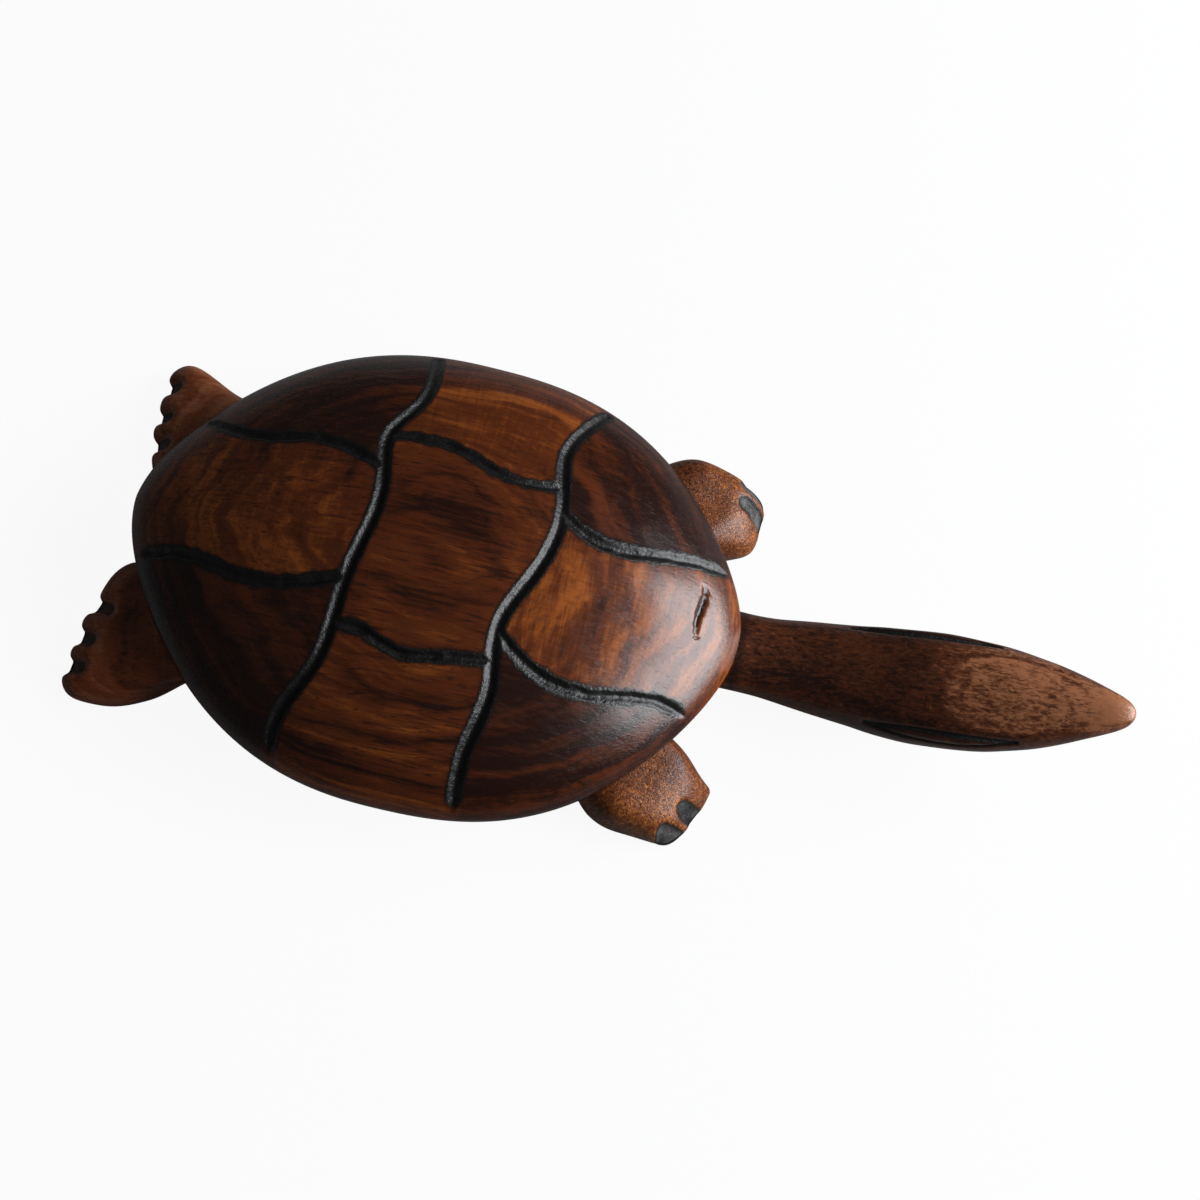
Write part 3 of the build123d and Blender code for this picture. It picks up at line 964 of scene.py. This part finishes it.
scoops = {
    "front_left_leg": [((61.0, 29.4), (54.4, 31.8)), ((58.6, 35.6), (54.4, 36.6))],
    "front_right_leg": [((58.0, -31.2), (54.0, -31.4)), ((55.4, -36.2), (51.4, -36.4))],
    "rear_left_leg": [
        ((-64.5, 15.4), (-58.4, 16.5)), ((-64.5, 22.0), (-59.8, 22.4)), ((-64.5, 28.6), (-60.2, 29.0)),
    ],
    "rear_right_leg": [
        ((-64.5, -17.0), (-57.2, -19.2)), ((-64.5, -23.8), (-59.0, -25.2)), ((-64.5, -30.2), (-59.4, -30.6)),
    ],
}

# %% Finishes of the legs
front_leg_wood = stained_wood(
    "front_leg_wood",
    [(46, 19, 8), (110, 56, 23), (188, 114, 56)],
    turn=(0, math.radians(62), 0),
    figure={"Layer Size": 3.0, "Sway": 5.0, "Fleck Size": 0.5, "Fleck Length": 1.4, "Fleck Twist": 1.1},
    mix={"Layers": 0.6, "Fibres": 0.6, "Flecks": 2.3, "Curl": 1.2},
    # The front scoops' light grey ash is a painted sheen of the shiny char facets.
    soot_and_painted_light={"Black": linear(20, 17, 16), "Ash and Painted Light": linear(92, 89, 88)},
    wax=0.3,
    shine=0.4,
    relief=0.14,
)
# The rear legs' stains are lighter than the front legs': painted light that lifts them out of the shell's
# shade.
rear_leg_wood = stained_wood(
    "rear_leg_wood",
    [(56, 22, 9), (134, 66, 30), (192, 120, 84)],
    figure={"Layer Size": 1.6, "Sway": 5.0, "Fleck Size": 0.5, "Fleck Length": 3.0},
    mix={"Flecks": 0.8, "Curl": 0.4},
    # The rear scoops' black and ash are lightened: painted light in the scoops' shade.
    soot_and_painted_light={"Black": linear(46, 31, 24), "Ash and Painted Light": linear(84, 64, 54)},
    wax=0.35,
)

# %% One paddle
leg_cells = 128
belly_half = (belly_high - belly_low)[:2] / 2
profile_stretch = 30.0
sole_arch, arch_ends = 4.4, (0.12, 0.42)
waist_share = 0.42
top_squareness, sole_squareness = 5, 9
facets = {"front_left_leg": (-38, 4.5), "front_right_leg": (16, 5.0)}
facet_slope, facet_softness = 0.5, 1.0
scoop_squareness = 6
pushed_edge = (0.45, 0.9)
leg_waves = [(21, 0.2, 8), (22, 0.07, 3)]
leg_planed = 0.15
leg_stain = [(23, 0.12, 9)]
leg_ripple = 0.3
# The sole is painted darker than the top: painted shade under the leg.
sole_painted_shade, sole_start = 0.1, 0.97


def leg_top(name, x, y, along, centre, heights):
    """The top's height: a smooth line through the heights at shares of the way to the toes. A facet takes
    off its slope times how far a point lies past its start, rounded over by a hyperbola."""
    line = smooth_line(np.array(heights) * (profile_stretch, 1), 200)
    top = np.interp(along * profile_stretch, *line.T)
    if name in facets:
        degrees, start = facets[name]
        ahead, aside = math.cos(math.radians(degrees)), math.sin(math.radians(degrees))
        past = (x - centre[0]) * ahead + (y - centre[1]) * aside - start
        top = top - facet_slope * (past + np.hypot(past, facet_softness)) / 2
    return top


def scoop_marks(name, flat, half_scoop, scorch):
    """The depth and burn of a paddle's scoops, by the distance from each one's line in half widths."""
    cut, burn = np.zeros(flat.shape[:-1]), np.zeros(flat.shape[:-1])
    for outer, inner in np.array(scoops[name]):
        plan = outer + (inner - outer) * np.linspace(0, 1, 60)[:, None]
        distance, _ = nearest(flat, np.column_stack([plan, np.zeros(len(plan))]))
        away = distance / half_scoop
        cut = np.maximum(cut, 1 / (1 + away**scoop_squareness))
        burn = np.maximum(burn, 1 - ease_between(scorch / 2, scorch, away))
    return cut, burn


def carve_leg(name, facing, heights, scoop, tone_shift, finish):
    """A pillow on a plan outline: the top is the side height plus what is left to the sloping top, times
    (1 - share^5)^(1/2), and the sole is flat with a hollow towards the belly. Heights are given at shares of
    the way from the belly to the toes, and a scoop by its half width, its drop, how far it pushes the edge
    in, and how many half widths out it is burnt."""
    outline = np.array(paddles[name])
    centre = outline.mean(0)
    way = facing * (1.0, np.sign(outline[:, 1].sum()))
    share, angle = disc_grid(leg_cells)
    share = np.sin(share * math.pi / 2)
    reach = share * reach_along(angle, smooth_loop(outline - centre, 720))
    x, y = centre[0] + reach * np.cos(angle), centre[1] + reach * np.sin(angle)
    inside = np.hypot(x / belly_half[0], y / belly_half[1])
    cope = np.maximum(1 / np.maximum(inside, 1e-6), 1)
    x, y = x * cope, y * cope
    travel = (outline - centre) @ way
    along = ((x - centre[0]) * way[0] + (y - centre[1]) * way[1] - travel.min()) / np.ptp(travel)
    top = leg_top(name, x, y, along, centre, heights)
    bottom = sole_arch * (1 - ease_between(*arch_ends, along))
    waist = bottom + waist_share * (top - bottom)
    upper, lower = (
        np.stack([x, y, waist + (end - waist) * np.maximum(1 - share**squareness, 0) ** 0.5], -1)
        for end, squareness in ((top, top_squareness), (bottom, sole_squareness))
    )
    half_scoop, drop, push, scorch = scoop
    flat = np.stack([x, y, np.zeros_like(x)], -1)
    cut, burn = scoop_marks(name, flat, half_scoop, scorch)
    upper[..., 2] -= cut * drop
    for sheet in (upper, lower):
        sheet[..., :2] -= (cut * ease_between(*pushed_edge, share) * push)[..., None] * way
    upper[..., 2] += waves(leg_waves, flat) * (1 - share**4) - leg_planed
    shade = tone_shift + waves(leg_stain, flat)
    index = np.arange(x.size).reshape(x.shape)
    below = index + x.size
    below[[0, -1]] = index[[0, -1]]
    below[:, [0, -1]] = index[:, [0, -1]]
    points = np.concatenate([upper.reshape(-1, 3), lower.reshape(-1, 3)])
    faces = list(grid_faces(index)) + list(grid_faces(below)[:, ::-1])
    paint = {
        "burn": np.concatenate([burn.ravel(), (burn * (share > sole_start)).ravel()]),
        # The sole is painted darker: painted shade under the leg.
        "tone": np.concatenate([shade.ravel(), shade.ravel() - sole_painted_shade]),
        "ripple": np.full(len(points), leg_ripple),
    }
    make_piece(f"carved_{name}", name, finish, points, faces, paint)


# %% The four legs
front_angle = math.radians(29)
front_facing = np.array([math.cos(front_angle), math.sin(front_angle)])
rear_facing = np.array([-1.0, 0.05])
front_heights = [(0.0, 11.2), (0.4, 10.9), (0.7, 10.0), (0.88, 8.0), (1.0, 5.8)]
rear_heights = [(0.0, 11.5), (0.3, 11.0), (0.6, 8.2), (0.85, 6.2), (1.0, 5.2)]
front_scoop = (1.6, 1.1, 0.2, 1.5)
rear_scoop = (1.6, 1.0, 1.2, 0.85)
front_tone = 0.05
# Both rear tones are raised, the left one most, as painted light against the shell's shade.
rear_tones_with_painted_light = {"left": 0.3, "right": 0.07}
for side, rear_lit_tone in rear_tones_with_painted_light.items():
    carve_leg(f"front_{side}_leg", front_facing, front_heights, front_scoop, front_tone, front_leg_wood)
    carve_leg(f"rear_{side}_leg", rear_facing, rear_heights, rear_scoop, rear_lit_tone, rear_leg_wood)

# %% [markdown]
# ## Belly and dowels
# The belly block and the dowels that hold the shell on it are hidden from above. Their solids are right as
# they are, so they stay and only get their wood: the belly a dark stain much like the shell's, and the
# dowels a pale rod.

# %% Finishes of the hidden pieces
belly_wood = stained_wood(
    "belly_wood", [(38, 19, 11), (84, 45, 22), (128, 76, 36)], figure={"Layer Size": 3.0}
)
dowel_wood = stained_wood(
    "dowel_wood",
    [(150, 104, 62), (190, 146, 96), (214, 178, 130)],
    figure={"Layer Size": 1.6},
)
for node_name, slot_name, finish in (
    ("belly", "belly_wood", belly_wood),
    ("shell_dowels", "dowel_wood", dowel_wood),
):
    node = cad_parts[node_name]
    node.data.materials.clear()
    node.data.materials.append(finish)
    print(node_name, "keeps its solid in", slot_name)

# %% [markdown]
# ## Floor, backdrop and light
# The turtle stands on a white sheet that curves up all round, as in a photographer's tent. The light is one
# broad window in front of the head: it draws the pale glare down the front of the shell and the bright line
# in each burnt groove, and leaves the rear in shade. A dim grey sky fills the rest.

# %% The white sheet
sheet_radius = 2.4
sheet_cove = 0.5
sheet_height = 1.4
cove_steps, sheet_spokes = 24, 97
paper_grey, paper_white, pure_white = (0.25, 0.25, 0.25, 1), (0.9, 0.9, 0.9, 1), (1, 1, 1, 1)
glow_to_camera, glow_in_wax = 0.93, 0.03


def lay_sheet():
    """A profile turned round Z: flat to the cove, a quarter circle up, then straight."""
    bend = np.linspace(-math.pi / 2, 0, cove_steps)
    radius = np.concatenate([[0.0], sheet_radius + sheet_cove * np.cos(bend), [sheet_radius + sheet_cove]])
    height = np.concatenate([[0.0], sheet_cove + sheet_cove * np.sin(bend), [sheet_height]])
    turn = np.linspace(0, 2 * math.pi, sheet_spokes)
    across = (np.cos(turn), np.sin(turn))
    points = np.stack([*(np.outer(radius, way) for way in across), np.outer(height, np.ones_like(turn))], -1)
    index = np.arange(points[..., 0].size).reshape(points.shape[:2])
    mesh = bpy.data.meshes.new("white_sheet")
    mesh.from_pydata(points.reshape(-1, 3), [], grid_faces(index).tolist(), shade_flat=False)
    sheet = put_in_scene("white_sheet", mesh)
    return sheet


def sheet_paper():
    """White paper that takes a faint shadow. Rays from the camera see it nearly pure white, those mirrored
    in the wax a little so, and all others grey, so that it throws little light back up."""
    material, tree = new_material("white_paper")
    path = lay(tree, "LightPath").outputs
    colour = blend_colours(tree, path["Is Camera Ray"], paper_grey, paper_white)
    paper = lay(tree, "BsdfDiffuse", {"Color": colour})
    glow = lay(tree, "Emission", {"Color": pure_white, "Strength": 1.0})
    mirrored = calc(tree, "MAXIMUM", path["Is Glossy Ray"], path["Is Transmission Ray"])
    seen = calc(tree, "MULTIPLY", path["Is Camera Ray"], glow_to_camera)
    share = calc(tree, "MULTIPLY_ADD", mirrored, glow_in_wax, seen)
    both = lay(tree, "MixShader", {0: share, 1: paper.outputs[0], 2: glow.outputs[0]})
    lay(tree, "OutputMaterial", {"Surface": both.outputs[0]})
    return material


white_sheet = lay_sheet()
white_sheet.data.materials.append(sheet_paper())
print("sheet", sheet_radius + sheet_cove, "m in radius")

# %% The window and the sky
window_turn = math.radians(12.5)
window_lift = math.radians(25)
window_distance = 0.8
window_aim = (0, 0, 0.02)
window_size = (0.82, 0.52)
window_power = 13.2
window_colour = (0.94, 0.97, 1.0)
sky_level = 0.065
sky_colour = (1, 0.98, 0.96, 1)


def hang_window():
    """An area lamp facing the shell, at a turn from +X and a lift above the floor."""
    lamp = bpy.data.lights.new("window", "AREA")
    lamp.shape = "RECTANGLE"
    lamp.size, lamp.size_y = window_size
    lamp.energy = window_power
    lamp.color = window_colour
    holder = put_in_scene("window", lamp)
    flat = math.cos(window_lift)
    away = Vector((flat * math.cos(window_turn), flat * math.sin(window_turn), math.sin(window_lift)))
    holder.location = away * window_distance + Vector(window_aim)
    holder.rotation_euler = away.to_track_quat("Z", "Y").to_euler()


hang_window()
sky = bpy.data.worlds.new("dim_sky")
sky.use_nodes = True
sky.node_tree.nodes["Background"].inputs["Color"].default_value = sky_colour
sky.node_tree.nodes["Background"].inputs["Strength"].default_value = sky_level
bpy.context.scene.world = sky
bpy.context.scene.view_settings.view_transform = "Standard"
print("window", window_power, "W, sky", sky_level)

# %% [markdown]
# ## Camera
# The turtle is seen from high on its right side, turned so that it lies across the frame with its head to
# the right. Its place comes from the shell: the plates and outline fix the angles, distance and roll.

# %% The camera
camera_turn, camera_lift, camera_roll = (math.radians(angle) for angle in (-5.62, 66.97, 18.75))
camera_distance = 297.7
camera_aim = (30.06, 2.45, rim_height)
lens_length = 48.0
film_width = 36.0
nearest_seen, farthest_seen = 0.01, 50


def set_camera():
    """The camera starts upright over the aim, is rolled about its line of sight, leant back and turned."""
    pose = Matrix.Rotation(camera_turn, 3, "Z") @ Matrix.Rotation(math.pi / 2 - camera_lift, 3, "X")
    pose = pose @ Matrix.Rotation(camera_roll, 3, "Z")
    lens = bpy.data.cameras.new("camera")
    lens.lens, lens.sensor_width = lens_length, film_width
    lens.clip_start, lens.clip_end = nearest_seen, farthest_seen
    made = put_in_scene("camera", lens)
    made.matrix_world = pose.to_4x4()
    made.location = Vector((np.array(camera_aim) + shell_origin) * MM) + pose.col[2] * camera_distance * MM
    bpy.context.scene.camera = made
    return made


camera = set_camera()
print("camera at", [round(c, 4) for c in camera.location])

# %% [markdown]
# ## The end
# The scene is brought up to date once more. The dressed turtle has to stay inside the box of its
# solids.

# %% The end
bpy.context.view_layer.update()
